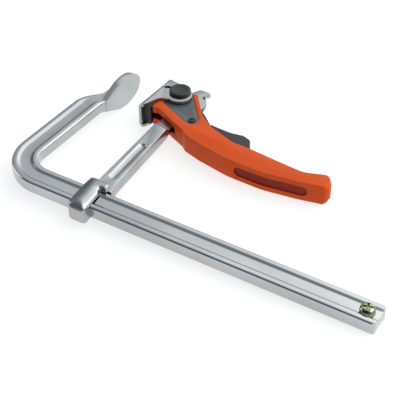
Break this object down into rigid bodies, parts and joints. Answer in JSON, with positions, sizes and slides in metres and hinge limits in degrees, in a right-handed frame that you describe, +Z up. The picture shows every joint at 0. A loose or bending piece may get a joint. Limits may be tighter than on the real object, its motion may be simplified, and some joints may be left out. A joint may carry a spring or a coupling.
{
  "type": "quick release bar clamp",
  "caption": "All-steel bar clamp with a sliding arm on an L-shaped bar, a cam lever that pushes a swivelling shoe, and a pawl with a release trigger.",
  "frame": {"origin": "centre of the fixed jaw's oval pad, on its pressure face", "axes": "+X along the bar towards its free end, the direction in which the jaws open; +Y from the bar towards the jaws; +Z up out of the clamp's flat side, with the stop screw's head on top"},
  "size_m": [0.301, 0.1755, 0.026],
  "materials": {
    "zinc_bar": "zinc plated, satin",
    "zinc_forging": "zinc plated over a forged surface",
    "zinc_sheet": "zinc plated sheet",
    "yellow_zinc": "yellow passivated zinc",
    "orange_paint": "smooth paint, slightly glossy",
    "plate_grey": "satin grey paint",
    "dark_steel": "blackened",
    "cap_black": "moulded, matte",
    "insert_black": "matte",
    "trigger_black": "moulded, satin",
    "spring_steel": "bare spring wire"
  },
  "bodies": {
    "rail": {"rail_bar": "zinc_bar", "stop_screw": "yellow_zinc"},
    "arm": {"sliding_arm": "zinc_forging", "spacer_washer_upper": "dark_steel", "spacer_washer_lower": "dark_steel"},
    "pivot": {"pivot_pin": "dark_steel", "keeper_washer_upper": "dark_steel", "keeper_washer_lower": "dark_steel", "pivot_cap_upper": "cap_black", "pivot_cap_lower": "cap_black"},
    "jaw": {"shoe": "zinc_sheet", "pressure_insert": "insert_black"},
    "lever": {"lever_handle": "orange_paint", "side_plate_upper": "plate_grey", "side_plate_lower": "plate_grey", "plate_rivet": "dark_steel", "pawl_pin": "dark_steel", "pawl_spring": "spring_steel"},
    "release": {"pawl": "dark_steel", "trigger": "trigger_black", "trigger_pin": "dark_steel"}
  },
  "joints": [
    {"name": "arm_slide", "type": "slide", "parent": "rail", "child": "arm", "axis": [1, 0, 0], "range_m": [-0.0247, 0.199]},
    {"name": "shoe_swivel", "type": "hinge", "parent": "arm", "child": "pivot", "pos_m": [0.0456, 0.0085, 0], "axis": [0, 0, 1], "range_deg": [-4, 0]},
    {"name": "shoe_slide", "type": "slide", "parent": "pivot", "child": "jaw", "axis": [1, 0, 0], "range_m": [0, 0.0095]},
    {"name": "lever_turn", "type": "hinge", "parent": "arm", "child": "lever", "pos_m": [0.0456, 0.0085, 0], "axis": [0, 0, 1], "range_deg": [0, 45]},
    {"name": "trigger_press", "type": "hinge", "parent": "lever", "child": "release", "pos_m": [0.0866, -0.0185, 0], "axis": [0, 0, 1], "range_deg": [-5, 0], "stiffness_Nm_per_rad": 0.2, "springref_deg": 5.73}
  ],
  "couplings": [
    {"joint": "shoe_slide", "follows": "lever_turn", "m_per_rad": 0.012095}
  ]
}
